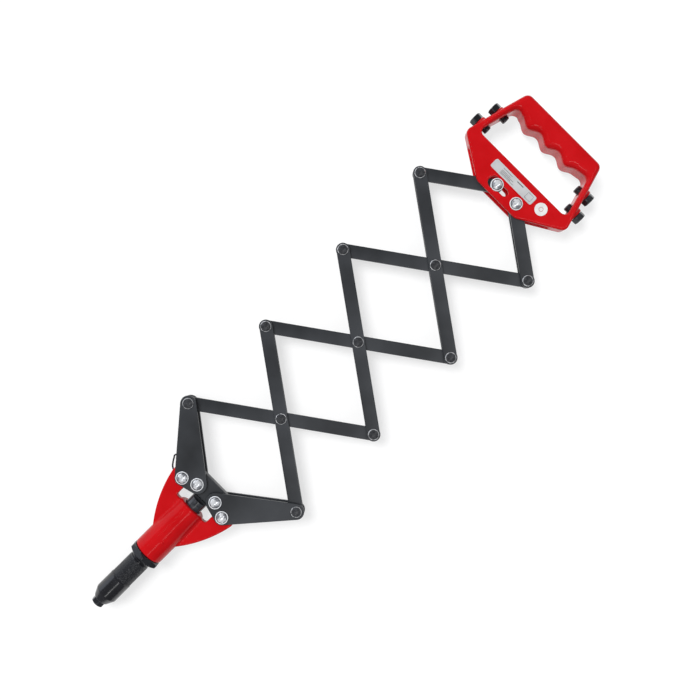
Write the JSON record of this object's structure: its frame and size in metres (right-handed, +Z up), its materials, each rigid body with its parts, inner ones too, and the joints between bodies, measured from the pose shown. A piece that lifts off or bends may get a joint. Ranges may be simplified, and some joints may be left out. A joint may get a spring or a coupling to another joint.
{
  "type": "hand riveter",
  "caption": "Lazy-tong hand riveter: threaded nose with spring jaws, lever arms, folding scissor links and a D-shaped pull handle that stores spare nosepieces.",
  "frame": {"origin": "middle of the tool's length and width, on the surface that it lies on", "axes": "+X along the tool's axis from the nose to the handle, +Y to the left arm, +Z up, square to the flat linkage"},
  "size_m": [0.6694, 0.1692, 0.0369],
  "materials": {
    "red_gloss": "gloss enamel on a casting",
    "black_steel": "satin blacked steel",
    "black_rivet": "blacked crown on a bright flange",
    "bare_steel": "ground",
    "bright_zinc": "bright zinc plate",
    "label_silver": "satin foil",
    "badge_white": "smooth"
  },
  "bodies": {
    "housing": {"housing": "red_gloss", "nose_barrel": "black_steel", "lock_nut": "black_steel", "nosepiece_fitted": "black_steel"},
    "draw_bar": {"draw_bar": "black_steel", "jaw_case": "bare_steel", "yoke": "black_steel", "jaw_spring": "bare_steel"},
    "jaw_1": {"jaw_1": "bare_steel"},
    "jaw_2": {"jaw_2": "bare_steel"},
    "jaw_3": {"jaw_3": "bare_steel"},
    "jaw_pusher": {"jaw_pusher": "bare_steel"},
    "left_lever": {"left_lever_upper_plate": "black_steel", "left_lever_lower_plate": "black_steel", "left_lever_pivot_pin": "bright_zinc", "left_lever_yoke_pin": "bright_zinc", "left_lever_end_rivet": "black_rivet", "left_lever_upper_spacer": "bright_zinc", "left_lever_lower_spacer": "bright_zinc"},
    "right_lever": {"right_lever_upper_plate": "black_steel", "right_lever_lower_plate": "black_steel", "right_lever_pivot_pin": "bright_zinc", "right_lever_yoke_pin": "bright_zinc", "right_lever_end_rivet": "black_rivet", "right_lever_middle_spacer": "bright_zinc"},
    "link_1a": {"link_1a": "black_steel", "centre_rivet_1": "black_rivet", "right_rivet_1": "black_rivet"},
    "link_1b": {"link_1b_upper": "black_steel", "link_1b_lower": "black_steel", "left_rivet_1": "black_rivet"},
    "link_2a": {"link_2a": "black_steel", "centre_rivet_2": "black_rivet", "right_rivet_2": "black_rivet"},
    "link_2b": {"link_2b_upper": "black_steel", "link_2b_lower": "black_steel", "left_rivet_2": "black_rivet"},
    "link_3a": {"link_3a": "black_steel", "centre_rivet_3": "black_rivet", "right_rivet_3": "black_rivet"},
    "link_3b": {"link_3b_upper": "black_steel", "link_3b_lower": "black_steel", "left_rivet_3": "black_rivet"},
    "link_4a": {"link_4a": "black_steel", "handle_slot_pin": "bright_zinc", "slot_pin_upper_spacer": "bright_zinc", "slot_pin_lower_spacer": "bright_zinc"},
    "link_4b": {"link_4b_upper": "black_steel", "link_4b_lower": "black_steel"},
    "handle": {"handle": "red_gloss", "handle_pivot_pin": "bright_zinc", "handle_middle_spacer": "bright_zinc", "nosepiece_spare_1": "black_steel", "nosepiece_spare_2": "black_steel", "nosepiece_spare_3": "black_steel", "nosepiece_spare_4": "black_steel", "label_plate": "label_silver", "round_badge": "badge_white"},
    "wire_catch": {"wire_catch": "black_steel"}
  },
  "joints": [
    {"name": "lever_fold", "type": "hinge", "parent": "housing", "child": "left_lever", "pos_m": [-0.18264, 0.028, 0.01845], "axis": [0, 0, 1], "range_deg": [-25, 11]},
    {"name": "right_lever_fold", "type": "hinge", "parent": "housing", "child": "right_lever", "pos_m": [-0.18264, -0.028, 0.01845], "axis": [0, 0, 1], "range_deg": [-11.01, 25.01]},
    {"name": "draw_bar_slide", "type": "slide", "parent": "housing", "child": "draw_bar", "axis": [1, 0, 0], "range_m": [-0.0068, 0.003]},
    {"name": "link_1a_fold", "type": "hinge", "parent": "left_lever", "child": "link_1a", "pos_m": [-0.12599, 0.07661, 0.01845], "axis": [0, 0, 1], "range_deg": [-21.68, 49.26]},
    {"name": "link_1b_fold", "type": "hinge", "parent": "link_1a", "child": "link_1b", "pos_m": [-0.07134, 0, 0.01845], "axis": [0, 0, 1], "range_deg": [-48.51, 21.35]},
    {"name": "link_2a_fold", "type": "hinge", "parent": "link_1b", "child": "link_2a", "pos_m": [-0.0167, 0.07661, 0.01845], "axis": [0, 0, 1], "range_deg": [-21.35, 48.51]},
    {"name": "link_2b_fold", "type": "hinge", "parent": "link_1a", "child": "link_2b", "pos_m": [-0.0167, -0.07661, 0.01845], "axis": [0, 0, 1], "range_deg": [-48.51, 21.35]},
    {"name": "link_3a_fold", "type": "hinge", "parent": "link_2b", "child": "link_3a", "pos_m": [0.09259, 0.07661, 0.01845], "axis": [0, 0, 1], "range_deg": [-21.35, 48.51]},
    {"name": "link_3b_fold", "type": "hinge", "parent": "link_2a", "child": "link_3b", "pos_m": [0.09259, -0.07661, 0.01845], "axis": [0, 0, 1], "range_deg": [-48.51, 21.35]},
    {"name": "link_4a_fold", "type": "hinge", "parent": "link_3b", "child": "link_4a", "pos_m": [0.20188, 0.07661, 0.01845], "axis": [0, 0, 1], "range_deg": [-21.35, 48.51]},
    {"name": "link_4b_fold", "type": "hinge", "parent": "link_3a", "child": "link_4b", "pos_m": [0.20188, -0.07661, 0.01845], "axis": [0, 0, 1], "range_deg": [-48.51, 21.35]},
    {"name": "handle_fold", "type": "hinge", "parent": "link_4b", "child": "handle", "pos_m": [0.24694, -0.01343, 0.01845], "axis": [0, 0, 1], "range_deg": [-10.68, 24.26]},
    {"name": "jaw_1_slide", "type": "slide", "parent": "draw_bar", "child": "jaw_1", "axis": [0.9806, 0, -0.1961], "range_m": [0, 0.0015], "stiffness_N_per_m": 400, "springref_m": -0.005},
    {"name": "jaw_2_slide", "type": "slide", "parent": "draw_bar", "child": "jaw_2", "axis": [0.9806, 0.1698, 0.0981], "range_m": [0, 0.0015]},
    {"name": "jaw_3_slide", "type": "slide", "parent": "draw_bar", "child": "jaw_3", "axis": [0.9806, -0.1698, 0.0981], "range_m": [0, 0.0015]},
    {"name": "jaw_pusher_slide", "type": "slide", "parent": "draw_bar", "child": "jaw_pusher", "axis": [1, 0, 0], "range_m": [0, 0.0015], "deforming": ["jaw_spring"]},
    {"name": "wire_catch_swing", "type": "hinge", "parent": "housing", "child": "wire_catch", "pos_m": [-0.18264, 0.028, 0.01845], "axis": [0, 0, 1], "range_deg": [-45, 30]}
  ],
  "couplings": [
    {"joint": "right_lever_fold", "follows": "lever_fold", "ratio": -1},
    {"joint": "draw_bar_slide", "follows": "lever_fold", "m_per_rad": 0.0155},
    {"joint": "link_1a_fold", "follows": "lever_fold", "ratio": -1.97},
    {"joint": "link_1b_fold", "follows": "lever_fold", "ratio": 1.94},
    {"joint": "link_2a_fold", "follows": "lever_fold", "ratio": -1.94},
    {"joint": "link_2b_fold", "follows": "lever_fold", "ratio": 1.94},
    {"joint": "link_3a_fold", "follows": "lever_fold", "ratio": -1.94},
    {"joint": "link_3b_fold", "follows": "lever_fold", "ratio": 1.94},
    {"joint": "link_4a_fold", "follows": "lever_fold", "ratio": -1.94},
    {"joint": "link_4b_fold", "follows": "lever_fold", "ratio": 1.94},
    {"joint": "handle_fold", "follows": "lever_fold", "ratio": -0.97},
    {"joint": "jaw_2_slide", "follows": "jaw_1_slide", "ratio": 1},
    {"joint": "jaw_3_slide", "follows": "jaw_1_slide", "ratio": 1},
    {"joint": "jaw_pusher_slide", "follows": "jaw_1_slide", "ratio": 0.9806}
  ]
}
